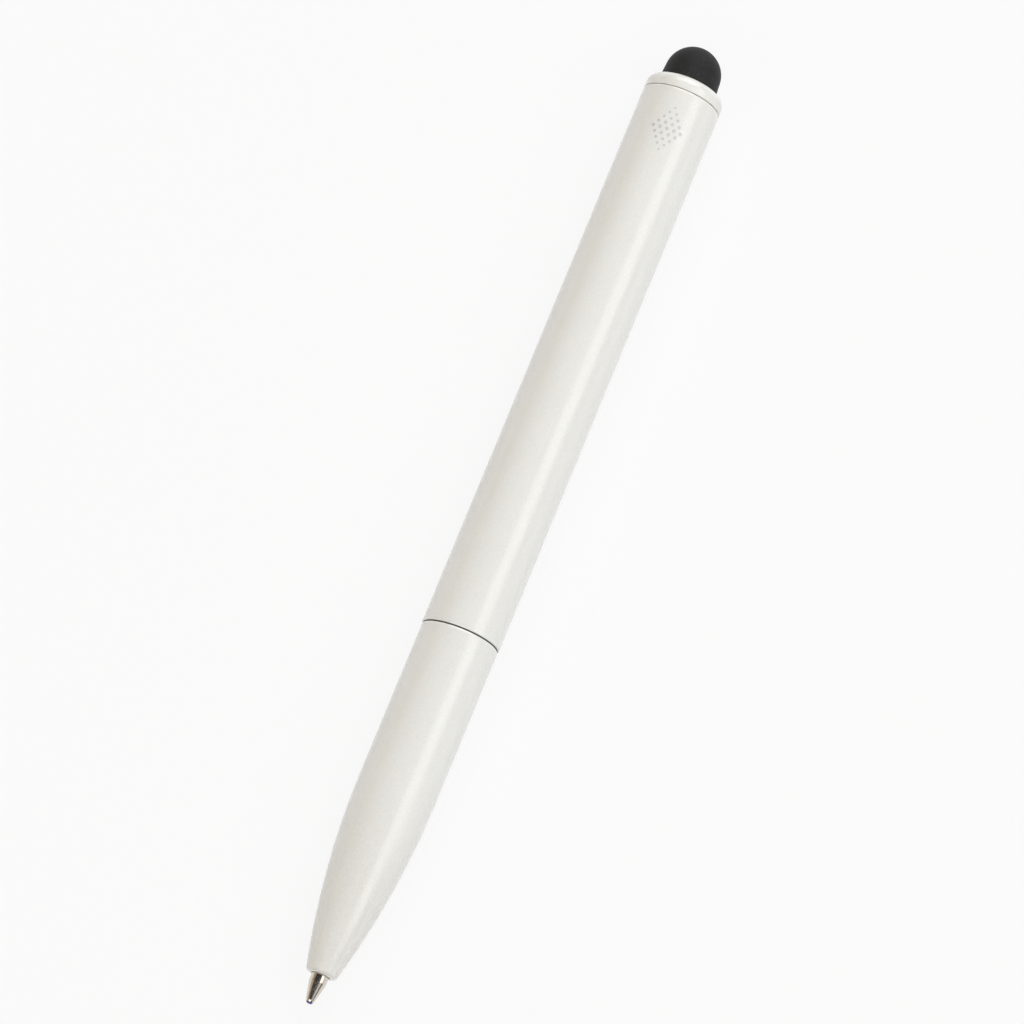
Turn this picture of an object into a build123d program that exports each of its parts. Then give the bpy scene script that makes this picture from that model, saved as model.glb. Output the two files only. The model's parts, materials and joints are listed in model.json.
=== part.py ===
from build123d import *
import math
import os

# A slim twist-action ballpoint pen with a rubber stylus dome on its other end.
# All sizes are in millimetres. A station is the distance along the pen from the front of the
# writing ball, with the nib turned out. Each piece is modelled upright, with the pen's axis on
# Z and its stations as heights. The pen is then laid along X, nib towards -X, resting on Z = 0.

# Barrels
barrel_diameter = 10.8
barrel_wall = 0.75
upper_length = 79.6
lower_diameter = 10.6
lower_wall = 0.8
lower_length = 48.0
taper_length = 26.5
nose_diameter = 4.05
nose_edge_radius = 0.55
edge_break = 0.12

# Stylus end
collar_height = 2.2
collar_round = 1.2
collar_lip = 0.8
dome_diameter = 7.7
dome_base_diameter = 8.0
dome_height = 5.85
dome_wall = 1.0
dome_flange_width = 0.45
dome_flange_thickness = 0.6
plug_length = 8.0
plug_floor = 1.5
post_height = 2.4
post_round = 0.8

# Writing tip
tip_exposure = 4.0
tip_diameter = 2.3
tip_length = 10.0
tip_cone_length = 2.45
tip_lip_diameter = 1.14
tip_lip_length = 0.2
tip_shank_diameter = 1.5
tip_shank_length = 5.0
ink_channel_diameter = 0.7
ball_diameter = 1.0
ball_exposure = 0.3

# Refill
tube_diameter = 3.0
tube_bore = 2.2
adapter_collar_length = 1.5
adapter_shank_length = 6.5
ear_span = 4.4
ear_thickness = 0.9
ear_length = 2.5
ink_clearance = 0.02
empty_length = 10.0
follower_length = 4.0

# Nose guide and return spring
guide_lead = 0.5
guide_length = 12.5
spring_seat_depth = 4.5
spring_diameter = 4.3
spring_wire = 0.4
spring_turns = 11

# Twist mechanism
twist_angle = 180.0
travel = 5.4
guide_tube_diameter = 6.2
guide_tube_bore = 4.4
guide_tube_reach = 12.0
guide_flange_thickness = 1.2
guide_tube_margin = 0.5
insert_length = 9.0
bush_length = 8.0
friction_ring_section = 0.8
friction_ring_bite = 0.4
friction_ring_room = 1.0
retaining_ring_room = 0.55
retaining_ring_thickness = 0.5
retaining_ring_bite = 0.3
retaining_ring_opening = 3.0
washer_thickness = 0.1
washer_inset = 0.25
cam_setback = 13.5
cam_end_wall = 3.2
pin_diameter = 1.5
plunger_lead = 5.0
plunger_tail = 2.5
socket_depth = 3.0
ear_gap = 0.8

# Clearances
press_gap = 0.02
run_gap = 0.06
slide_gap = 0.12
end_play = 0.05
pin_end_gap = 0.35
seam_gap = 0.06
slot_end_relief = 0.05

# Radii that several pieces share
barrel_radius = barrel_diameter / 2
barrel_bore_radius = barrel_radius - barrel_wall
lower_radius = lower_diameter / 2
lower_bore_radius = lower_radius - lower_wall
nose_radius = nose_diameter / 2
dome_radius = dome_diameter / 2
dome_hollow_radius = dome_radius - dome_wall
dome_base_radius = dome_base_diameter / 2
dome_flange_radius = dome_base_radius + dome_flange_width
tip_radius = tip_diameter / 2
nose_bore_radius = tip_radius + slide_gap
ball_radius = ball_diameter / 2
tube_radius = tube_diameter / 2
tube_bore_radius = tube_bore / 2
guide_tube_radius = guide_tube_diameter / 2
guide_tube_bore_radius = guide_tube_bore / 2
guide_flange_radius = lower_bore_radius - slide_gap
pin_radius = pin_diameter / 2
slot_width = pin_diameter + 2 * slide_gap

# Stations of the outside, from the nib to the dome
nose_station = tip_exposure
taper_station = nose_station + taper_length
joint_station = nose_station + lower_length
upper_station = joint_station + washer_thickness + end_play
upper_end = upper_station + upper_length
collar_station = upper_end + seam_gap
collar_end = collar_station + collar_height
total_length = collar_end + dome_height

# Stations of the mechanism
cam_end = upper_end - cam_setback
pin_station = cam_end - cam_end_wall - travel
cam_station = pin_station - cam_end_wall
plunger_station = pin_station - plunger_lead
tube_end = plunger_station + socket_depth
guide_tube_station = joint_station - guide_tube_reach
bush_end = upper_station + bush_length
ear_end = guide_tube_station - travel - ear_gap
ear_station = ear_end - ear_length
nose_guide_station = tip_length - guide_lead
spring_station = nose_guide_station + spring_seat_depth
adapter_end = tip_length + adapter_collar_length + adapter_shank_length

# The taper is one arc, tangent to the straight part of the lower barrel
taper_drop = lower_radius - nose_radius
taper_arc_radius = (taper_length**2 + taper_drop**2) / (2 * taper_drop)


def at(station, radius):
    """The point of a turned piece's outline at a station and a radius."""
    return (radius, 0, station)


def outline(*corners):
    """The closed face with straight sides through (station, radius) corners."""
    points = [at(station, radius) for station, radius in corners]
    return make_face(Polyline(*points, close=True))


def rounded(face, radius, *corners):
    """The face with the corners at these (station, radius) places rounded."""
    picked = [face.vertices().sort_by_distance(at(*corner))[0] for corner in corners]
    return fillet(picked, radius)


def turned(face):
    """The solid that the face sweeps about the pen's axis."""
    return revolve(face, Axis.Z)


def tube(start, end, outer, inner):
    """A plain tube between two stations."""
    return turned(outline((start, inner), (start, outer), (end, outer), (end, inner)))


def rod(start, end, radius):
    """A plain rod between two stations."""
    return tube(start, end, radius, 0)


def cross_rod(station, radius, reach):
    """A rod square to the pen's axis, reaching as far on both sides of it."""
    return Pos(0, 0, station) * Rot(0, 90, 0) * Cylinder(radius, 2 * reach)


def taper_at(station, inset):
    """The radius of the lower barrel's taper at a station, an inset below its surface."""
    behind = taper_station - station
    return lower_radius - taper_arc_radius + math.sqrt((taper_arc_radius - inset) ** 2 - behind**2)


def taper_arc(start, end, inset):
    """The arc of the taper's outline between two stations, an inset below its surface."""
    stations = (start, (start + end) / 2, end)
    return ThreePointArc(*[at(station, taper_at(station, inset)) for station in stations])


def upper_barrel():
    corners = [
        (upper_station, barrel_bore_radius),
        (upper_station, barrel_radius),
        (upper_end, barrel_radius),
        (upper_end, barrel_bore_radius),
    ]
    return turned(rounded(outline(*corners), edge_break, *corners[1:3]))


def lower_barrel():
    bore_rise = nose_bore_radius + taper_arc_radius - lower_radius
    bore_end = taper_station - math.sqrt((taper_arc_radius - lower_wall) ** 2 - bore_rise**2)
    straight_sides = Polyline(
        at(taper_station, lower_radius),
        at(joint_station, lower_radius),
        at(joint_station, lower_bore_radius),
        at(taper_station, lower_bore_radius),
    )
    nose_sides = Polyline(
        at(bore_end, nose_bore_radius),
        at(nose_station, nose_bore_radius),
        at(nose_station, nose_radius),
    )
    tapers = [taper_arc(nose_station, taper_station, 0), taper_arc(bore_end, taper_station, lower_wall)]
    face = make_face([straight_sides, nose_sides, *tapers])
    face = rounded(face, edge_break, (joint_station, lower_radius))
    face = rounded(face, edge_break, (nose_station, nose_bore_radius))
    return turned(rounded(face, nose_edge_radius, (nose_station, nose_radius)))


def stylus_collar():
    bore = dome_flange_radius + press_gap
    hole = dome_base_radius + press_gap
    face = outline(
        (collar_station, bore),
        (collar_station, barrel_radius),
        (collar_end, barrel_radius),
        (collar_end, hole),
        (collar_end - collar_lip, hole),
        (collar_end - collar_lip, bore),
    )
    face = rounded(face, edge_break, (collar_station, barrel_radius))
    return turned(rounded(face, collar_round, (collar_end, barrel_radius)))


def dome_arc(radius, start):
    """The arc of the dome's outline from a turn above its equator, in degrees, to the pen's axis."""
    centre = total_length - dome_radius
    turns = [math.radians(turn) for turn in (start, (start + 90) / 2, 90)]
    return ThreePointArc(*[at(centre + radius * math.sin(turn), radius * math.cos(turn)) for turn in turns])


def skirt_turn():
    """The turn above the dome's equator where its flared skirt meets the round, in degrees."""
    drop = dome_height - dome_radius
    reach = math.hypot(drop, dome_base_radius)
    return math.degrees(math.acos(dome_radius / reach) - math.atan2(drop, dome_base_radius))


def stylus_dome():
    round_start = skirt_turn()
    outside = dome_arc(dome_radius, round_start)
    hollow = dome_arc(dome_hollow_radius, 0)
    flange_end = collar_end - collar_lip - press_gap
    flange_station = flange_end - dome_flange_thickness
    skirt = Polyline(
        hollow @ 0,
        at(flange_station, dome_hollow_radius),
        at(flange_station, dome_flange_radius),
        at(flange_end, dome_flange_radius),
        at(flange_end, dome_base_radius),
        at(collar_end, dome_base_radius),
        outside @ 0,
    )
    crown = Line(outside @ 1, hollow @ 1)
    return turned(make_face([skirt, outside, crown, hollow]))


def stylus_plug():
    foot = upper_end - plug_length
    body = barrel_bore_radius - press_gap
    neck = dome_flange_radius
    seat = collar_end - collar_lip - dome_flange_thickness - 2 * press_gap
    post = dome_hollow_radius - slide_gap
    face = outline(
        (foot, post),
        (foot, body),
        (upper_end, body),
        (upper_end, neck),
        (seat, neck),
        (seat, post),
        (seat + post_height, post),
        (seat + post_height, 0),
        (upper_end - plug_floor, 0),
        (upper_end - plug_floor, post),
    )
    return turned(rounded(face, post_round, (seat + post_height, post)))


def writing_tip():
    cone_start = ball_exposure + tip_lip_length
    shank = tip_shank_diameter / 2
    channel = ink_channel_diameter / 2
    lip = tip_lip_diameter / 2
    tip = turned(
        outline(
            (ball_exposure, 0),
            (ball_exposure, ball_radius + press_gap),
            (cone_start, lip),
            (cone_start + tip_cone_length, tip_radius),
            (tip_length, tip_radius),
            (tip_length, shank),
            (tip_length + tip_shank_length, shank),
            (tip_length + tip_shank_length, 0),
        )
    )
    socket = Pos(0, 0, ball_radius) * Sphere(ball_radius + press_gap)
    return tip - socket - rod(ball_radius, tip_length + tip_shank_length, channel)


def writing_ball():
    return Pos(0, 0, ball_radius) * Sphere(ball_radius)


def tip_adapter():
    bore = tip_shank_diameter / 2 + press_gap
    shank = tube_bore_radius - press_gap
    collar_end_station = tip_length + adapter_collar_length
    corners = [
        (tip_length, bore),
        (tip_length, tube_radius),
        (collar_end_station, tube_radius),
        (collar_end_station, shank),
        (adapter_end, shank),
        (adapter_end, bore),
    ]
    return turned(rounded(outline(*corners), edge_break, corners[1]))


def refill_tube():
    start = tip_length + adapter_collar_length
    ears = Pos(0, 0, (ear_station + ear_end) / 2) * Box(ear_span, ear_thickness, ear_length)
    ink_tube = rod(start, tube_end, tube_radius) + ears
    return ink_tube - rod(start, tube_end, tube_bore_radius)


def ink_end():
    """The station where the ink stops and its follower starts."""
    return tube_end - empty_length - follower_length


def ink_column():
    return rod(adapter_end + ink_clearance, ink_end(), tube_bore_radius - ink_clearance)


def ink_follower():
    return rod(ink_end(), ink_end() + follower_length, tube_bore_radius - ink_clearance)


def nose_guide():
    inset = lower_wall + press_gap
    end = nose_guide_station + guide_length
    bore = tube_radius + slide_gap
    chamber = spring_diameter / 2 + slide_gap
    sides = Polyline(
        at(nose_guide_station, taper_at(nose_guide_station, inset)),
        at(nose_guide_station, bore),
        at(spring_station, bore),
        at(spring_station, chamber),
        at(end, chamber),
        at(end, taper_at(end, inset)),
    )
    return turned(make_face([sides, taper_arc(nose_guide_station, end, inset)]))


def return_spring():
    wire_radius = spring_wire / 2
    start = spring_station + wire_radius + press_gap
    end = ear_station - wire_radius - press_gap
    pitch = (end - start) / spring_turns
    coil = Pos(0, 0, start) * Helix(pitch, end - start, spring_diameter / 2 - wire_radius)
    section = Plane(coil @ 0, z_dir=coil % 0) * Circle(wire_radius)
    print(f"least gap between the return spring's turns: {pitch - spring_wire:.2f} mm")
    return sweep(section, path=coil, is_frenet=True)


def guide_tube():
    flange_start = joint_station - guide_flange_thickness
    end = cam_end + guide_tube_margin
    body = tube(guide_tube_station, end, guide_tube_radius, guide_tube_bore_radius)
    flange = tube(flange_start, joint_station, guide_flange_radius, guide_tube_bore_radius)
    body += flange
    body -= friction_ring_groove()
    body -= retaining_ring_groove()
    reach = guide_flange_radius
    for station in (pin_station, pin_station + travel):
        body -= cross_rod(station, slot_width / 2, reach)
    return body - Pos(0, 0, pin_station + travel / 2) * Box(2 * reach, slot_width, travel)


def friction_ring_station():
    """The middle of the room for the friction ring, at the back end of the bush."""
    return bush_end - friction_ring_room / 2


def friction_ring_groove():
    half_room = friction_ring_room / 2
    middle = friction_ring_station()
    depth = friction_ring_bite + press_gap
    return tube(middle - half_room, middle + half_room, guide_flange_radius, guide_tube_radius - depth)


def friction_ring():
    section_radius = friction_ring_section / 2
    middle_radius = guide_tube_radius - friction_ring_bite + section_radius
    return Pos(0, 0, friction_ring_station()) * Torus(middle_radius, section_radius)


def retaining_ring_groove():
    start = bush_end + end_play
    end = start + retaining_ring_thickness + 2 * press_gap
    return tube(start, end, guide_flange_radius, guide_tube_radius - retaining_ring_bite)


def retaining_ring():
    start = bush_end + end_play + press_gap
    outer = barrel_bore_radius - retaining_ring_room
    inner = guide_tube_radius - retaining_ring_bite + press_gap
    ring = tube(start, start + retaining_ring_thickness, outer, inner)
    return ring - Pos(outer, 0, start) * Box(2 * outer, retaining_ring_opening, 2 * outer)


def threaded_insert():
    end = joint_station - guide_flange_thickness
    outer = lower_bore_radius - press_gap
    return tube(end - insert_length, end, outer, guide_tube_radius + press_gap)


def joint_washer():
    outer = lower_radius - washer_inset
    return tube(joint_station, joint_station + washer_thickness, outer, guide_tube_radius + press_gap)


def front_bush():
    ring_room = guide_tube_radius - friction_ring_bite + friction_ring_section + run_gap
    bush = tube(upper_station, bush_end, barrel_bore_radius - press_gap, guide_tube_radius + run_gap)
    return bush - rod(bush_end - friction_ring_room, bush_end, ring_room)


def cam_sleeve():
    outer = barrel_bore_radius - press_gap
    inner = guide_tube_radius + run_gap
    lead = travel * 360 / twist_angle
    path = Pos(0, 0, pin_station) * Helix(lead, travel, (outer + inner) / 2)
    section_plane = Plane(path @ 0, x_dir=(1, 0, 0), z_dir=path % 0)
    slot = sweep(section_plane * Rectangle(2 * (outer - inner), slot_width), path=path, is_frenet=True)
    sleeve = tube(cam_station, cam_end, outer, inner)
    for side in (0, 180):
        sleeve -= Rot(0, 0, side) * slot
    drill_radius = slot_width / 2 + slot_end_relief
    sleeve -= cross_rod(pin_station, drill_radius, barrel_radius)
    return sleeve - Rot(0, 0, twist_angle) * cross_rod(pin_station + travel, drill_radius, barrel_radius)


def plunger():
    body = rod(plunger_station, pin_station + plunger_tail, guide_tube_bore_radius - slide_gap)
    body -= rod(plunger_station, tube_end, tube_radius + press_gap)
    return body - cross_rod(pin_station, pin_radius + press_gap, guide_tube_radius)


def cam_pin():
    return cross_rod(pin_station, pin_radius, barrel_bore_radius - pin_end_gap)


pieces = [
    upper_barrel,
    lower_barrel,
    stylus_collar,
    stylus_dome,
    stylus_plug,
    joint_washer,
    front_bush,
    guide_tube,
    threaded_insert,
    friction_ring,
    retaining_ring,
    cam_sleeve,
    plunger,
    cam_pin,
    refill_tube,
    tip_adapter,
    writing_tip,
    writing_ball,
    ink_column,
    ink_follower,
    nose_guide,
    return_spring,
]

# Lay the pen on its side and write each piece
laid_down = Pos(-total_length / 2, 0, barrel_radius) * Rot(0, 90, 0)
os.makedirs("parts", exist_ok=True)
for piece in pieces:
    export_step(laid_down * piece(), f"parts/{piece.__name__}.step")
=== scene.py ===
import json
import math

import bmesh
import bpy
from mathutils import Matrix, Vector


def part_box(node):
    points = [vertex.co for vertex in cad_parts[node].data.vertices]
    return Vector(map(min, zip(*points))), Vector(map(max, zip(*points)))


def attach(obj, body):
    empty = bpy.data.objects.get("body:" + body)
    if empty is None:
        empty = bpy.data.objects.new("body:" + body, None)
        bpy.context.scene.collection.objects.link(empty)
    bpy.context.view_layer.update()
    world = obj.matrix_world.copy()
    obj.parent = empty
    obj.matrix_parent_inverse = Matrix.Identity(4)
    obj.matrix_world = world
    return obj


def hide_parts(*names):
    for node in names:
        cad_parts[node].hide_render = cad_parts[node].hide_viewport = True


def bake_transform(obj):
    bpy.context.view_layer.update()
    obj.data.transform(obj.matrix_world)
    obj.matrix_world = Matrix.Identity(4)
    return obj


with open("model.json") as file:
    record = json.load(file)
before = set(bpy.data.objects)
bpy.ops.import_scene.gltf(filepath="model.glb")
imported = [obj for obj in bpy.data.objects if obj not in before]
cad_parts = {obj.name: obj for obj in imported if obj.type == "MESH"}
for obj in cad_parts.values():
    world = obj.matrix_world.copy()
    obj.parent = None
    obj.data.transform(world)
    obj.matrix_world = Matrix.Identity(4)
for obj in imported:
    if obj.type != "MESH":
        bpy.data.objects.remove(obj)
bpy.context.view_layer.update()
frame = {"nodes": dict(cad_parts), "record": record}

# A twist-action ballpoint pen with a rubber stylus dome, lying on a pale floor.
# The pen lies along X with its nib towards -X.
# Lengths are in metres, and mm turns millimetres into them. Named angles are in degrees.
# A place is a distance along X, and a radius is measured from the pen's axis.
mm = 0.001


# The material slot and the body of each node
node_slots = {part["node"]: part["material_slot"] for part in frame["record"]["subparts"]}
body_nodes = frame["record"]["behaviour"]["bodies"]
node_bodies = {node: body for body, nodes in body_nodes.items() for node in nodes}


def span(node):
    """The start, the end and the largest radius of a round node of the frame."""
    low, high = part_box(node)
    return low.x, high.x, (high.y - low.y) / 2


# Places and radii from the frame
upper_start, upper_end, barrel_radius = span("upper_barrel")
nose, joint, lower_radius = span("lower_barrel")
collar_start, collar_end, collar_radius = span("stylus_collar")
flange_start, dome_top, flange_radius = span("stylus_dome")
washer_start, washer_end, washer_radius = span("joint_washer")
tip_front, tip_back, tip_radius = span("writing_tip")
ball_front, _, ball_radius = span("writing_ball")
spring_start, spring_end, spring_radius = span("return_spring")
adapter_start = span("tip_adapter")[0]
axis_height = sum(corner.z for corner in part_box("upper_barrel")) / 2

# Walls and edges
barrel_wall = 0.75 * mm
lower_wall = 0.8 * mm
taper_length = 26.5 * mm
nose_radius = 2.025 * mm
nose_rounding = 0.55 * mm
edge_rounding = 0.12 * mm
joint_rounding = 0.18 * mm
seam_rounding = 0.08 * mm
bevel_length = 0.25 * mm
bevel_drop = 0.06 * mm
seam_relief = 0.02 * mm
fine_edge = 0.03 * mm
press_gap = 0.02 * mm
washer_hole_radius = 3.12 * mm

# Stylus end
collar_rounding = 1.2 * mm
collar_lip = 0.8 * mm
lip_rounding = 0.15 * mm
dome_radius = 3.85 * mm
dome_wall = 1.0 * mm
flange_width = 0.45 * mm
flange_thickness = 0.6 * mm
dome_base_radius = flange_radius - flange_width

# Nib
nose_bore_radius = tip_radius + 0.12 * mm
tip_lip_radius = 0.57 * mm
tip_lip_length = 0.2 * mm
tip_lip_rounding = 0.2 * mm
tip_cone_length = 2.45 * mm
tip_shoulder_rounding = 0.25 * mm
tip_shank_radius = 0.75 * mm
ink_channel_radius = 0.35 * mm

# Return spring
spring_wire_radius = 0.2 * mm
spring_turns = 13
closed_turns = 1.0
wire_sides = 16
steps_per_turn = 36

# Laser-cut lozenge of dots near the collar
mark_length = 6.2 * mm
mark_width = 3.9 * mm
mark_rows = 9
mark_centre = upper_end - 6.0 * mm
mark_turn = -1.5
dot_depth = 0.04 * mm
dot_radius_middle = 0.25 * mm
dot_radius_end = 0.15 * mm
dot_sides = 24

# Lacquer
cloud_size = 5 * mm
flake_size = 0.13 * mm
flake_shimmer = 0.7
speck_spacing = 3.5 * mm
speck_radius = 0.08 * mm
peel_size = 0.18 * mm
peel_depth = 0.011 * mm
wave_size = 0.22 * mm
wave_depth = 0.014 * mm
lacquer_dark = (0.812, 0.806, 0.766, 1)
lacquer_light = (0.837, 0.834, 0.796, 1)
lacquer_handled = (0.818, 0.799, 0.748, 1)
flake_white = (0.90, 0.895, 0.865, 1)
# Painted shade: a brownish darkening along the seam at the collar
painted_seam_shade = (0.8, 0.72, 0.62, 1)
# Painted shade: grey on the ends that meet in the twist joint, where the gap lies in shade
painted_gap_shade = (0.3, 0.3, 0.29, 1)
speck_brown = (0.45, 0.33, 0.22, 1)

# Rubber
tooth_size = 0.14 * mm
tooth_depth = 0.03 * mm
blotch_size = 1.6 * mm
lint_spacing = 0.24 * mm
lint_radius = 0.036 * mm
rubber_black = (0.0055, 0.0055, 0.006, 1)
rubber_grey = (0.011, 0.011, 0.0115, 1)
tooth_grey = (0.023, 0.023, 0.0235, 1)
lint_white = (0.2, 0.2, 0.195, 1)

# Plastic, metal and ink
plastic_cloud_size = 3 * mm
plastic_grain_size = 0.15 * mm
plastic_grain_depth = 0.006 * mm
laser_grain_size = 0.08 * mm
laser_grain_depth = 0.005 * mm
stain_size = 0.5 * mm
pit_size = 0.1 * mm
ink_patch_size = 0.25 * mm
ink_streak_size = 0.6 * mm
grease_swirl_size = 0.8 * mm
haze_size = 2 * mm

# Mesh fineness
segments = 192
small_segments = 96
corner_steps = 8
taper_rings = 48
dome_rings = 40
socket_rings = 14
ball_rings = 33
guard = 0.04 * mm
on_axis = 1e-4 * mm
smooth_angle = 32

# Camera
view_azimuth = -68.4
view_elevation = 73.3
view_distance = 0.75
view_angle = 10.2
view_aim = Vector((0.0005, 0.0, axis_height))
view_start = 0.01

# Floor and lights
floor_radius = 4.0
floor_glow = 0.88
backdrop_height = 1.4 * (floor_radius + view_distance) * math.tan(math.radians(view_angle) / 2)
backdrop_steps = 24
key_angle = 47
key_aim = Vector((0.13, 0, axis_height))
key_distance = 0.5
key_width = 0.27
key_length = 0.34
key_radiance = 1.78

# Light panels of the studio, far away, each with the start and end of its direction's X part,
# the start and end of its lean from straight up towards +Y in degrees, and its colour.
# A later panel covers the earlier ones.
light_panels = {
    "over_nib": ((-0.82, -0.39), (-37, 40), (2.05, 2.05, 2.03, 1)),
    "beyond_dome": ((0.47, 0.86), (-40, 36), (3.82, 3.82, 3.79, 1)),
    "behind_collar": ((0.95, 1.1), (-60, 60), (2.0, 2.0, 2.0, 1)),
    "before_nose": ((-1.1, -0.93), (-70, 70), (1.0, 1.05, 1.1, 1)),
    "low_by_nib": ((0.05, 0.2), (-80, -64), (1.7, 1.7, 1.7, 1)),
    "low_by_barrel": ((0.24, 0.5), (-88, -64), (0.3, 0.3, 0.3, 1)),
    "beside_nib": ((-0.5, -0.17), (-65, -30), (0.6, 0.6, 0.6, 1)),
    "beside_nose": ((-0.16, 0.0), (-62, -32), (2.5, 2.5, 2.5, 1)),
    "left_of_barrel": ((-0.6, 0.6), (52, 110), (0.38, 0.27, 0.13, 1)),
    "left_of_nib": ((-0.35, 0.2), (50, 110), (0.55, 0.46, 0.34, 1)),
}
studio_colour = (0.05, 0.05, 0.05, 1)
edge_softness = 0.1
lean_softness = 10
mottle_size = 0.2


def new_object(name, mesh, material):
    """Show a mesh as a piece of this name with this material."""
    piece = bpy.data.objects.new(name, mesh)
    mesh.materials.append(material)
    bpy.context.scene.collection.objects.link(piece)
    return piece


def rounded(corners):
    """The points of a closed outline through (place, radius, rounding) corners."""
    points = []
    for index, (place, radius, rounding) in enumerate(corners):
        corner = Vector((place, radius))
        if rounding == 0:
            points.append(corner)
            continue
        behind = Vector(corners[index - 1][:2]) - corner
        ahead = Vector(corners[(index + 1) % len(corners)][:2]) - corner
        behind.normalize()
        ahead.normalize()
        half_angle = behind.angle(ahead) / 2
        reach = rounding / math.tan(half_angle)
        centre = corner + (behind + ahead).normalized() * rounding / math.sin(half_angle)
        first = (corner + behind * reach - centre).normalized()
        last = (corner + ahead * reach - centre).normalized()
        for step in range(corner_steps + 1):
            points.append(centre + first.slerp(last, step / corner_steps) * rounding)
    return points


def guarded(points):
    """The outline with points near both ends of each long stretch, which keep its shading straight."""
    result = []
    for start, end in zip(points, points[1:] + points[:1]):
        result.append(start)
        stretch = end - start
        if stretch.length > 4 * guard:
            result.append(start + stretch.normalized() * guard)
            result.append(end - stretch.normalized() * guard)
    return result


def bridge(shape, near, far):
    """Join two rings of corners by faces, also where a ring is one corner on the axis."""
    for side in range(len(near)):
        corners = dict.fromkeys((near[side - 1], near[side], far[side], far[side - 1]))
        if len(corners) > 2:
            shape.faces.new(corners)


def mesh_of(shape, name):
    """The mesh of a finished shape."""
    mesh = bpy.data.meshes.new(name)
    shape.to_mesh(mesh)
    shape.free()
    return mesh


def smooth_mesh(shape, name):
    """The mesh of a closed shape, shaded smooth except at its sharp edges."""
    bmesh.ops.recalc_face_normals(shape, faces=shape.faces)
    mesh = mesh_of(shape, name)
    mesh.shade_smooth()
    mesh.set_sharp_from_angle(angle=math.radians(smooth_angle))
    return mesh


def turned_mesh(name, points, sides):
    """A closed mesh that the outline sweeps about the pen's axis."""
    shape = bmesh.new()
    rings = []
    for place, radius in points:
        if radius < on_axis:
            rings.append([shape.verts.new((place, 0, axis_height))] * sides)
            continue
        ring = []
        for side in range(sides):
            turn = 2 * math.pi * side / sides
            across = radius * math.sin(turn)
            ring.append(shape.verts.new((place, across, axis_height + radius * math.cos(turn))))
        rings.append(ring)
    for near, far in zip(rings, rings[1:] + rings[:1]):
        bridge(shape, near, far)
    return smooth_mesh(shape, name)


def turned(name, corners, material, sides=segments):
    """A turned piece with the outline through (place, radius, rounding) corners."""
    mesh = turned_mesh(name, guarded(rounded(corners)), sides)
    return new_object(name, mesh, material)


def dress(piece, node):
    """Let a piece stand for a node: hide the node and put the piece on its body."""
    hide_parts(node)
    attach(piece, node_bodies[node])


# Shader helpers


def new_material(name):
    """A material of this name, with its node tree and its main shader."""
    material = bpy.data.materials.new(name)
    material.use_nodes = True
    tree = material.node_tree
    return material, tree, tree.nodes["Principled BSDF"]


def fill(tree, target, inputs):
    """Set the named inputs of a node to values, or link them to other nodes' outputs."""
    for name, value in inputs.items():
        if isinstance(value, bpy.types.NodeSocket):
            tree.links.new(value, target.inputs[name])
        else:
            target.inputs[name].default_value = value


def add_node(tree, kind, inputs, **settings):
    """A new node of this kind with its inputs filled."""
    made = tree.nodes.new("ShaderNode" + kind)
    for name, value in settings.items():
        setattr(made, name, value)
    fill(tree, made, inputs)
    return made


def place_on_pen(tree):
    """The place of a point on its piece, in metres."""
    return add_node(tree, "TexCoord", {}).outputs["Object"]


def stretched(tree, place, scale):
    """A place with each direction scaled by its own factor."""
    return add_node(tree, "VectorMath", {0: place, 1: scale}, operation="MULTIPLY").outputs["Vector"]


def noise(tree, place, size, detail=2.0):
    """A soft random pattern with blotches of about this size, from 0 to 1."""
    inputs = {"Vector": place, "Scale": 1 / size, "Detail": detail}
    return add_node(tree, "TexNoise", inputs).outputs["Fac"]


def cells(tree, place, size):
    """A pattern of random cells of about this size: its distance and its random colour."""
    made = add_node(tree, "TexVoronoi", {"Vector": place, "Scale": 1 / size})
    return made.outputs["Distance"], made.outputs["Color"]


def remap(tree, value, start, end, low, high):
    """A value that goes from low to high as the given one goes from start to end."""
    inputs = {"Value": value, "From Min": start, "From Max": end, "To Min": low, "To Max": high}
    return add_node(tree, "MapRange", inputs).outputs["Result"]


def soft_range(tree, value, start, end, softness):
    """1 where a value lies from start to end, fading to 0 across soft ends."""
    middle = (start + end) / 2
    half = (end - start) / 2
    offset = add_node(tree, "Math", {0: value, 1: middle}, operation="SUBTRACT").outputs["Value"]
    distance = add_node(tree, "Math", {0: offset}, operation="ABSOLUTE").outputs["Value"]
    return remap(tree, distance, half + softness / 2, half - softness / 2, 0.0, 1.0)


def blend_colours(tree, share, first, second):
    """A colour that goes from the first to the second with the share."""
    made = add_node(tree, "Mix", {"Factor": share}, data_type="RGBA")
    fill(tree, made, {6: first, 7: second})
    return made.outputs[2]


def specks(tree, place, spacing, radius):
    """Sparse round specks, each of its own strength up to 1, with 0 outside."""
    distance, colour = cells(tree, place, spacing)
    strength = add_node(tree, "SeparateColor", {"Color": colour}).outputs["Red"]
    return remap(tree, distance, radius / spacing, 0.7 * radius / spacing, 0.0, strength)


def bump(tree, height, depth, strength=1.0, normal=None):
    """A normal bent by a height pattern that is this deep."""
    inputs = {"Height": height, "Distance": depth, "Strength": strength}
    if normal is not None:
        inputs["Normal"] = normal
    return add_node(tree, "Bump", inputs).outputs["Normal"]


# Materials


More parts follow.
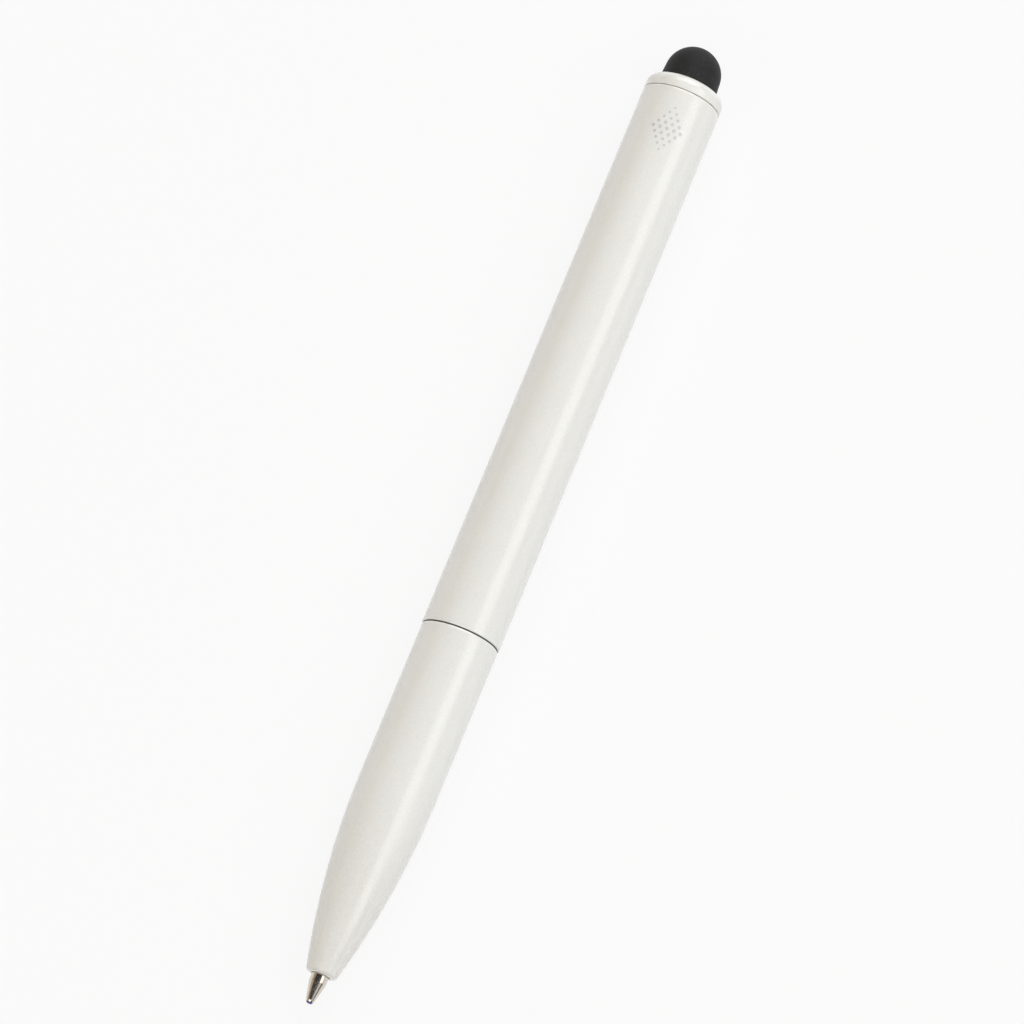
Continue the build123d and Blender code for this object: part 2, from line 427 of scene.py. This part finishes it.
def pearl_lacquer():
    """Warm white lacquer with fine pearl flakes and an uneven skin, warmer towards the nose.

    The ends that meet in the twist joint are painted grey as shade, and painted shade darkens the collar
    seam.
    """
    material, tree, shader = new_material("pearl_lacquer")
    place = place_on_pen(tree)
    along = add_node(tree, "SeparateXYZ", {"Vector": place}).outputs["X"]
    clouds = noise(tree, place, cloud_size)
    ground = blend_colours(tree, clouds, lacquer_dark, lacquer_light)
    handled = remap(tree, along, nose + taper_length, nose + 0.4 * taper_length, 0.0, 1.0)
    ground = blend_colours(tree, handled, ground, lacquer_handled)
    flake_colour = cells(tree, place, flake_size)[1]
    flake = add_node(tree, "SeparateColor", {"Color": flake_colour}).outputs
    shimmer = remap(tree, flake["Red"], 0.0, 1.0, 0.0, flake_shimmer)
    pearl = blend_colours(tree, shimmer, ground, flake_white)
    # Painted shade along the seam between the barrel and the collar
    seam_shade_mask = soft_range(tree, along, upper_end, collar_start + 2 * seam_relief, 3 * seam_relief)
    pearl = blend_colours(tree, seam_shade_mask, pearl, painted_seam_shade)
    edge = seam_relief / 2
    # Painted shade: the ends at the twist joint turn grey, standing in for the shade in the gap
    for end in (joint, upper_start):
        gap_shade_mask = soft_range(tree, along, end - edge, end + edge, edge)
        pearl = blend_colours(tree, gap_shade_mask, pearl, painted_gap_shade)
    brown = specks(tree, place, speck_spacing, speck_radius)
    peel = noise(tree, place, peel_size, 1.0)
    waves = noise(tree, place, wave_size, 1.0)
    fill(tree, shader, {
        "Base Color": blend_colours(tree, brown, pearl, speck_brown),
        "Roughness": remap(tree, flake["Green"], 0.0, 1.0, 0.3, 0.5),
        "Normal": bump(tree, peel, peel_depth),
        "Coat Weight": 1.0,
        "Coat Roughness": 0.06,
        "Coat Normal": bump(tree, waves, wave_depth),
    })
    return material


def bare_metal():
    """Pale grey metal laid bare by the laser, slightly rough."""
    material, tree, shader = new_material("bare_metal")
    place = place_on_pen(tree)
    grain = noise(tree, place, laser_grain_size, 4.0)
    fill(tree, shader, {
        "Base Color": blend_colours(tree, grain, (0.58, 0.58, 0.59, 1), (0.72, 0.72, 0.73, 1)),
        "Metallic": 0.3,
        "Roughness": remap(tree, grain, 0.3, 0.7, 0.4, 0.6),
        "Normal": bump(tree, grain, laser_grain_depth),
    })
    return material


def black_rubber():
    """Matt black silicone rubber with a fine tooth and a few specks of lint."""
    material, tree, shader = new_material("black_rubber")
    place = place_on_pen(tree)
    grain = noise(tree, place, tooth_size, 4.0)
    blotches = noise(tree, place, blotch_size)
    ground = blend_colours(tree, blotches, rubber_black, rubber_grey)
    tooth = remap(tree, grain, 0.4, 0.7, 0.0, 0.5)
    ground = blend_colours(tree, tooth, ground, tooth_grey)
    lint = specks(tree, place, lint_spacing, lint_radius)
    fill(tree, shader, {
        "Base Color": blend_colours(tree, lint, ground, lint_white),
        "Roughness": remap(tree, grain, 0.3, 0.7, 0.58, 0.74),
        "IOR": 1.4,
        "Sheen Weight": 0.015,
        "Sheen Roughness": 0.45,
        "Normal": bump(tree, grain, tooth_depth),
    })
    return material


def moulded_plastic(name, dark, light, roughness):
    """Moulded plastic between two close colours, with a fine sparked grain."""
    material, tree, shader = new_material(name)
    place = place_on_pen(tree)
    grain = noise(tree, place, plastic_grain_size, 3.0)
    clouds = noise(tree, place, plastic_cloud_size)
    fill(tree, shader, {
        "Base Color": blend_colours(tree, clouds, dark, light),
        "Roughness": remap(tree, grain, 0.3, 0.7, roughness - 0.06, roughness + 0.06),
        "Normal": bump(tree, grain, plastic_grain_depth),
    })
    return material


def black_plastic():
    """Black plastic of the plug, the bush and the washer."""
    dark = (0.012, 0.012, 0.012, 1)
    light = (0.022, 0.022, 0.021, 1)
    return moulded_plastic("black_plastic", dark, light, roughness=0.45)


def white_plastic():
    """White plastic of the sleeve, the guides and the plunger."""
    dark = (0.72, 0.71, 0.68, 1)
    light = (0.8, 0.79, 0.76, 1)
    return moulded_plastic("white_plastic", dark, light, roughness=0.38)


def turned_metal(name, dark, light, ring_size, ring_depth, roughness):
    """Metal with the fine rings that a lathe tool leaves round it."""
    material, tree, shader = new_material(name)
    place = place_on_pen(tree)
    rings = noise(tree, stretched(tree, place, (1.0, 0.04, 0.04)), ring_size, 4.0)
    stains = noise(tree, place, stain_size, 3.0)
    pits = noise(tree, place, pit_size, 3.0)
    fill(tree, shader, {
        "Base Color": blend_colours(tree, stains, dark, light),
        "Metallic": 1.0,
        "Roughness": remap(tree, pits, 0.5, 0.75, roughness - 0.05, roughness + 0.25),
        "Normal": bump(tree, pits, 2 * ring_depth, normal=bump(tree, rings, ring_depth)),
    })
    return material


def brass():
    """Turned brass of the threaded insert."""
    dark = (0.62, 0.42, 0.16, 1)
    light = (0.74, 0.53, 0.24, 1)
    ring_size = 0.06 * mm
    ring_depth = 0.002 * mm
    return turned_metal("brass", dark, light, ring_size, ring_depth, roughness=0.28)


def spring_steel():
    """Drawn steel of the spring, the pin and the retaining ring."""
    dark = (0.5, 0.5, 0.5, 1)
    light = (0.62, 0.62, 0.61, 1)
    ring_size = 0.08 * mm
    ring_depth = 0.001 * mm
    return turned_metal("spring_steel", dark, light, ring_size, ring_depth, roughness=0.26)


def nickel_silver():
    """Polished nickel silver of the writing tip."""
    dark = (0.6, 0.55, 0.48, 1)
    light = (0.75, 0.7, 0.62, 1)
    ring_size = 0.05 * mm
    ring_depth = 0.0012 * mm
    return turned_metal("nickel_silver", dark, light, ring_size, ring_depth, roughness=0.16)


def inked_carbide():
    """The writing ball, wet with violet-blue ink, and bare in a few places and towards its front."""
    material, tree, shader = new_material("inked_carbide")
    place = place_on_pen(tree)
    patches = noise(tree, place, ink_patch_size, 3.0)
    along = add_node(tree, "SeparateXYZ", {"Vector": place}).outputs["X"]
    worn = remap(tree, along, ball_front, ball_front + 0.3 * ball_radius, 0.16, 0.0)
    thin = add_node(tree, "Math", {0: patches, 1: worn}).outputs["Value"]
    bare = remap(tree, thin, 0.58, 0.66, 0.0, 1.0)
    fill(tree, shader, {
        "Base Color": blend_colours(tree, bare, (0.055, 0.035, 0.26, 1), (0.5, 0.47, 0.45, 1)),
        "Metallic": remap(tree, bare, 0.0, 1.0, 0.1, 0.8),
        "Roughness": remap(tree, patches, 0.3, 0.7, 0.12, 0.26),
        "Coat Weight": 0.4,
    })
    return material


def clear_plastic():
    """Clear plastic with a faint milky haze."""
    material, tree, shader = new_material("clear_plastic")
    place = place_on_pen(tree)
    haze = noise(tree, place, haze_size, 3.0)
    fill(tree, shader, {
        "Base Color": blend_colours(tree, haze, (0.88, 0.9, 0.9, 1), (0.95, 0.96, 0.96, 1)),
        "Roughness": remap(tree, haze, 0.3, 0.7, 0.08, 0.2),
        "IOR": 1.49,
        "Transmission Weight": 0.85,
    })
    return material


def blue_ink():
    """Thick blue ink with paler streaks along the tube."""
    material, tree, shader = new_material("blue_ink")
    place = stretched(tree, place_on_pen(tree), (0.15, 1.0, 1.0))
    streaks = noise(tree, place, ink_streak_size, 3.0)
    fill(tree, shader, {
        "Base Color": blend_colours(tree, streaks, (0.008, 0.006, 0.09, 1), (0.02, 0.015, 0.2, 1)),
        "Roughness": remap(tree, streaks, 0.3, 0.7, 0.1, 0.2),
        "Coat Weight": 0.3,
    })
    return material


def follower_grease():
    """The clear yellowish grease that follows the ink."""
    material, tree, shader = new_material("follower_grease")
    swirls = noise(tree, place_on_pen(tree), grease_swirl_size, 3.0)
    fill(tree, shader, {
        "Base Color": blend_colours(tree, swirls, (0.7, 0.6, 0.36, 1), (0.82, 0.74, 0.52, 1)),
        "Roughness": remap(tree, swirls, 0.3, 0.7, 0.15, 0.3),
        "Transmission Weight": 0.4,
    })
    return material


finishes = {
    "pearl_lacquer": pearl_lacquer(),
    "black_rubber": black_rubber(),
    "black_plastic": black_plastic(),
    "white_plastic": white_plastic(),
    "brass": brass(),
    "spring_steel": spring_steel(),
    "clear_plastic": clear_plastic(),
    "nickel_silver": nickel_silver(),
    "carbide": inked_carbide(),
    "blue_ink": blue_ink(),
    "follower_grease": follower_grease(),
}


# Pieces


def mark_dots():
    """The place, turn in radians and radius of each dot of the lozenge."""
    middle_row = (mark_rows - 1) // 2
    row_step = mark_length / (mark_rows - 1)
    dot_step = mark_width / middle_row
    for row in range(mark_rows):
        from_middle = abs(row - middle_row)
        count = middle_row + 1 - from_middle
        share = from_middle / middle_row
        radius = dot_radius_middle + (dot_radius_end - dot_radius_middle) * share
        for dot in range(count):
            across = (dot - (count - 1) / 2) * dot_step
            turn = math.radians(mark_turn) + across / barrel_radius
            yield mark_centre + (row - middle_row) * row_step, turn, radius


def mark_cutter(material):
    """Short rods, square to the barrel's surface, that cut the lozenge of dots."""
    shape = bmesh.new()
    for place, turn, radius in mark_dots():
        rims = []
        for height in (barrel_radius - dot_depth, barrel_radius + dot_depth):
            rim = []
            for side in range(dot_sides):
                angle = 2 * math.pi * side / dot_sides
                along = place + radius * math.cos(angle)
                across = radius * math.sin(angle)
                y = height * math.sin(turn) + across * math.cos(turn)
                z = axis_height + height * math.cos(turn) - across * math.sin(turn)
                rim.append(shape.verts.new((along, y, z)))
            rims.append(rim)
            shape.faces.new(rim)
        bridge(shape, *rims)
    bmesh.ops.recalc_face_normals(shape, faces=shape.faces)
    return new_object("mark_cutter", mesh_of(shape, "mark_cutter"), material)


def cut_away(piece, cutter):
    """Cut one object out of another for good."""
    modifier = piece.modifiers.new("cut", "BOOLEAN")
    modifier.operation = "DIFFERENCE"
    modifier.solver = "EXACT"
    modifier.material_mode = "TRANSFER"
    modifier.object = cutter
    evaluated = piece.evaluated_get(bpy.context.evaluated_depsgraph_get())
    piece.data = bpy.data.meshes.new_from_object(evaluated)
    piece.modifiers.clear()
    bpy.data.objects.remove(cutter)


def straighten_shading(mesh):
    """Shade the outside of the cut barrel as the true round that it is."""
    normals = [Vector() for loop in mesh.loops]
    for face in mesh.polygons:
        outward = Vector((0, face.center.y, face.center.z - axis_height))
        outside = outward.length > barrel_radius - 0.25 * dot_depth
        for index in face.loop_indices:
            corner = mesh.vertices[mesh.loops[index].vertex_index].co
            if outside:
                normals[index] = Vector((0, corner.y, corner.z - axis_height)).normalized()
    mesh.normals_split_custom_set(normals)


def upper_barrel():
    """The upper barrel's tube, with the lozenge of dots cut into it."""
    bore = barrel_radius - barrel_wall
    piece = turned("upper_barrel_tube", [
        (upper_start, bore, 0),
        (upper_start, barrel_radius, joint_rounding),
        (mark_centre - mark_length, barrel_radius, 0),
        (mark_centre + 0.7 * mark_length, barrel_radius, 0),
        (upper_end - bevel_length, barrel_radius, bevel_length),
        (upper_end, barrel_radius - bevel_drop, seam_rounding),
        (upper_end, bore, 0),
    ], finishes["pearl_lacquer"])
    cut_away(piece, mark_cutter(bare_metal()))
    straighten_shading(piece.data)
    dress(piece, "upper_barrel")


def taper_outline(places, inset):
    """Corners along the taper of the lower barrel, an inset below its surface."""
    drop = lower_radius - nose_radius
    arc_radius = (taper_length**2 + drop**2) / (2 * drop)
    taper_start = nose + taper_length
    corners = []
    for place in places:
        rise = math.sqrt((arc_radius - inset) ** 2 - (taper_start - place) ** 2)
        corners.append((place, lower_radius - arc_radius + rise, 0))
    return corners


def between(start, end, count):
    """Evenly spaced places from start to end, both included."""
    return [start + (end - start) * step / (count - 1) for step in range(count)]


def lower_barrel():
    """The lower barrel's shell, tapered to the nose along an arc."""
    bore = lower_radius - lower_wall
    taper_start = nose + taper_length
    outside = taper_outline(between(taper_start, nose + 1.2 * nose_rounding, taper_rings), 0)
    inside = taper_outline(between(nose, taper_start, taper_rings), lower_wall)
    inside = [corner for corner in inside if corner[1] > nose_bore_radius + fine_edge]
    piece = turned("lower_barrel_shell", [
        (joint, bore, 0),
        (joint, lower_radius - bevel_drop, seam_rounding),
        (joint - bevel_length, lower_radius, bevel_length),
        *outside,
        (nose, nose_radius, nose_rounding),
        (nose, nose_bore_radius, edge_rounding),
        (inside[0][0] - guard, nose_bore_radius, 0),
        *inside,
    ], finishes["pearl_lacquer"])
    dress(piece, "lower_barrel")


def stylus_collar():
    """The ring with a rounded rim that holds the dome."""
    bore = flange_radius + press_gap
    hole = dome_base_radius + press_gap
    piece = turned("stylus_collar_ring", [
        (collar_start + seam_relief, bore, 0),
        (collar_start + seam_relief, collar_radius, edge_rounding),
        (collar_end, collar_radius, collar_rounding),
        (collar_end, hole, lip_rounding),
        (collar_end - collar_lip, hole, 0),
        (collar_end - collar_lip, bore, 0),
    ], finishes["pearl_lacquer"])
    dress(piece, "stylus_collar")


def dome_outline(radius, start):
    """Corners along the dome's round, from a turn above its equator, in radians, to the pen's axis."""
    centre = dome_top - dome_radius
    corners = []
    for turn in between(start, 0.5 * math.pi, dome_rings):
        corners.append((centre + radius * math.sin(turn), radius * math.cos(turn), 0))
    return corners


def skirt_turn():
    """The turn above the dome's equator where its flared skirt meets the round, in radians."""
    drop = dome_top - dome_radius - collar_end
    reach = math.hypot(drop, dome_base_radius)
    return math.acos(dome_radius / reach) - math.atan2(drop, dome_base_radius)


def stylus_dome():
    """The hollow rubber dome, with its skirt and its flange under the collar's rim."""
    hollow = dome_radius - dome_wall
    flange_end = flange_start + flange_thickness
    piece = turned("stylus_dome_rubber", [
        (flange_start, hollow, 0),
        (flange_start, flange_radius, fine_edge),
        (flange_end, flange_radius, fine_edge),
        (flange_end, dome_base_radius, 0),
        (collar_end, dome_base_radius, 0),
        *dome_outline(dome_radius, skirt_turn()),
        *reversed(dome_outline(hollow, 0)),
    ], finishes["black_rubber"])
    dress(piece, "stylus_dome")


def joint_washer():
    """The thin washer in the twist joint."""
    piece = turned("joint_washer_ring", [
        (washer_start, washer_hole_radius, 0),
        (washer_start, washer_radius, fine_edge),
        (washer_end, washer_radius, fine_edge),
        (washer_end, washer_hole_radius, 0),
    ], finishes["black_plastic"])
    dress(piece, "joint_washer")


def socket_outline():
    """Corners along the round seat of the writing ball, from the ink channel to the tip's front."""
    centre = ball_front + ball_radius
    seat = ball_radius + press_gap
    back_turn = math.asin(ink_channel_radius / seat)
    front_turn = math.acos((tip_front - centre) / seat)
    corners = []
    for turn in between(back_turn, front_turn, socket_rings):
        corners.append((centre + seat * math.cos(turn), seat * math.sin(turn), 0))
    return corners


def writing_tip():
    """The cone and shank that carry the ball, with the ink channel through them."""
    cone_start = tip_front + tip_lip_length
    piece = turned("writing_tip_point", [
        *socket_outline(),
        (cone_start, tip_lip_radius, tip_lip_rounding),
        (cone_start + tip_cone_length, tip_radius, tip_shoulder_rounding),
        (adapter_start, tip_radius, edge_rounding),
        (adapter_start, tip_shank_radius, 0),
        (tip_back, tip_shank_radius, fine_edge),
        (tip_back, ink_channel_radius, 0),
    ], finishes["nickel_silver"], small_segments)
    dress(piece, "writing_tip")


def writing_ball():
    """The ball, round to its poles."""
    centre = ball_front + ball_radius
    corners = []
    for turn in between(0, math.pi, ball_rings):
        corners.append((centre - ball_radius * math.cos(turn), ball_radius * math.sin(turn), 0))
    mesh = turned_mesh("writing_ball_inked", [Vector(corner[:2]) for corner in corners], small_segments)
    piece = new_object("writing_ball_inked", mesh, finishes["carbide"])
    dress(piece, "writing_ball")


def spring_place(turn):
    """How far along the spring its wire is after a number of turns, with the end turns closed."""
    wire = 2 * spring_wire_radius
    open_turns = spring_turns - 2 * closed_turns
    open_length = spring_end - spring_start - wire - 2 * closed_turns * wire
    place = spring_start + spring_wire_radius
    place += wire * min(turn, closed_turns)
    place += open_length / open_turns * min(max(turn - closed_turns, 0), open_turns)
    return place + wire * max(turn - closed_turns - open_turns, 0)


def return_spring():
    """The spring's wire, coiled round the pen's axis."""
    coil_radius = spring_radius - spring_wire_radius
    rings = spring_turns * steps_per_turn
    shape = bmesh.new()
    previous = None
    for ring in range(rings + 1):
        turns = ring / steps_per_turn
        angle = 2 * math.pi * turns
        outward = Vector((0, math.sin(angle), math.cos(angle)))
        centre = Vector((spring_place(turns), 0, axis_height)) + outward * coil_radius
        section = []
        for side in range(wire_sides):
            lean = 2 * math.pi * side / wire_sides
            offset = outward * math.cos(lean) + Vector((math.sin(lean), 0, 0))
            section.append(shape.verts.new(centre + offset * spring_wire_radius))
        if previous is None:
            shape.faces.new(section)
        else:
            bridge(shape, previous, section)
        previous = section
    shape.faces.new(previous)
    mesh = smooth_mesh(shape, "return_spring_wire")
    piece = new_object("return_spring_wire", mesh, finishes["spring_steel"])
    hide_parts("return_spring")
    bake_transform(piece)


def finish_inner_nodes():
    """Give each node that still shows the material of its slot."""
    for name, node in frame["nodes"].items():
        if node.hide_render:
            continue
        node.data.materials.clear()
        node.data.materials.append(finishes[node_slots[name]])


# Stage


def floor_material():
    """A pale floor that shows nearly white where it is fully lit and keeps the pen's soft shadow."""
    material, tree, shader = new_material("pale_floor")
    tree.nodes.remove(shader)
    place = place_on_pen(tree)
    mottle = noise(tree, place, mottle_size)
    colour = blend_colours(tree, mottle, (0.7, 0.7, 0.7, 1), (0.72, 0.72, 0.72, 1))
    lit = add_node(tree, "BsdfDiffuse", {"Color": colour})
    paths = add_node(tree, "LightPath", {})
    seen = paths.outputs["Is Camera Ray"]
    for kind in ("Is Glossy Ray", "Is Transmission Ray"):
        either = add_node(tree, "Math", {0: seen, 1: paths.outputs[kind]}, operation="MAXIMUM")
        seen = either.outputs["Value"]
    white = add_node(tree, "Emission", {"Color": (1, 1, 1, 1), "Strength": 1.0})
    share = add_node(tree, "Math", {0: seen, 1: floor_glow}, operation="MULTIPLY").outputs["Value"]
    mixed = add_node(tree, "MixShader", {0: share, 1: lit.outputs["BSDF"], 2: white.outputs["Emission"]})
    output = tree.nodes["Material Output"]
    tree.links.new(mixed.outputs["Shader"], output.inputs["Surface"])
    return material


def floor():
    """A round floor that sweeps up at its rim, high enough to stand behind the pen in a level view."""
    shape = bmesh.new()
    previous = None
    for step in range(backdrop_steps + 1):
        lean = 0.5 * math.pi * step / backdrop_steps
        radius = floor_radius + backdrop_height * math.sin(lean)
        height = backdrop_height * (1 - math.cos(lean))
        ring = []
        for side in range(small_segments):
            turn = 2 * math.pi * side / small_segments
            ring.append(shape.verts.new((radius * math.cos(turn), radius * math.sin(turn), height)))
        if previous is None:
            shape.faces.new(ring)
        else:
            bridge(shape, ring, previous)
        previous = ring
    mesh = mesh_of(shape, "floor")
    mesh.shade_smooth()
    mesh.polygons[0].use_smooth = False
    new_object("floor", mesh, floor_material())


def sky():
    """A dark studio with the light panels round the pen."""
    world = bpy.data.worlds.new("studio")
    bpy.context.scene.world = world
    world.use_nodes = True
    tree = world.node_tree
    direction = add_node(tree, "TexCoord", {}).outputs["Generated"]
    parts = add_node(tree, "SeparateXYZ", {"Vector": direction}).outputs
    lean = add_node(tree, "Math", {0: parts["Y"], 1: parts["Z"]}, operation="ARCTAN2").outputs["Value"]
    colour = studio_colour
    for along, leaning, light in light_panels.values():
        lean_start, lean_end = map(math.radians, leaning)
        here = soft_range(tree, parts["X"], *along, edge_softness)
        there = soft_range(tree, lean, lean_start, lean_end, math.radians(lean_softness))
        share = add_node(tree, "Math", {0: here, 1: there}, operation="MULTIPLY").outputs["Value"]
        colour = blend_colours(tree, share, colour, light)
    fill(tree, tree.nodes["Background"], {"Color": colour, "Strength": 1.0})


def key_light():
    """A soft box over the -Y side of the pen, of the given radiance."""
    lamp = bpy.data.lights.new("key_box", "AREA")
    lamp.shape = "RECTANGLE"
    lamp.size = key_length
    lamp.size_y = key_width
    lamp.energy = key_radiance * math.pi * key_length * key_width
    lean = math.radians(key_angle)
    box = bpy.data.objects.new("key_box", lamp)
    box.location = key_aim + Vector((0, -math.sin(lean), math.cos(lean))) * key_distance
    box.rotation_euler = (lean, 0, 0)
    box.visible_camera = False
    bpy.context.scene.collection.objects.link(box)


def camera():
    """The photograph's view of the pen."""
    azimuth = math.radians(view_azimuth)
    elevation = math.radians(view_elevation)
    level = math.cos(elevation)
    back = Vector((math.sin(azimuth) * level, -math.cos(azimuth) * level, math.sin(elevation)))
    data = bpy.data.cameras.new("camera")
    data.angle = math.radians(view_angle)
    data.clip_start = view_start
    eye = bpy.data.objects.new("camera", data)
    eye.location = view_aim + back * view_distance
    eye.rotation_mode = "QUATERNION"
    eye.rotation_quaternion = (-back).to_track_quat("-Z", "Y")
    bpy.context.scene.collection.objects.link(eye)
    bpy.context.scene.camera = eye


upper_barrel()
lower_barrel()
stylus_collar()
stylus_dome()
joint_washer()
writing_tip()
writing_ball()
return_spring()
finish_inner_nodes()
floor()
sky()
key_light()
camera()
bpy.context.scene.view_settings.view_transform = "Standard"
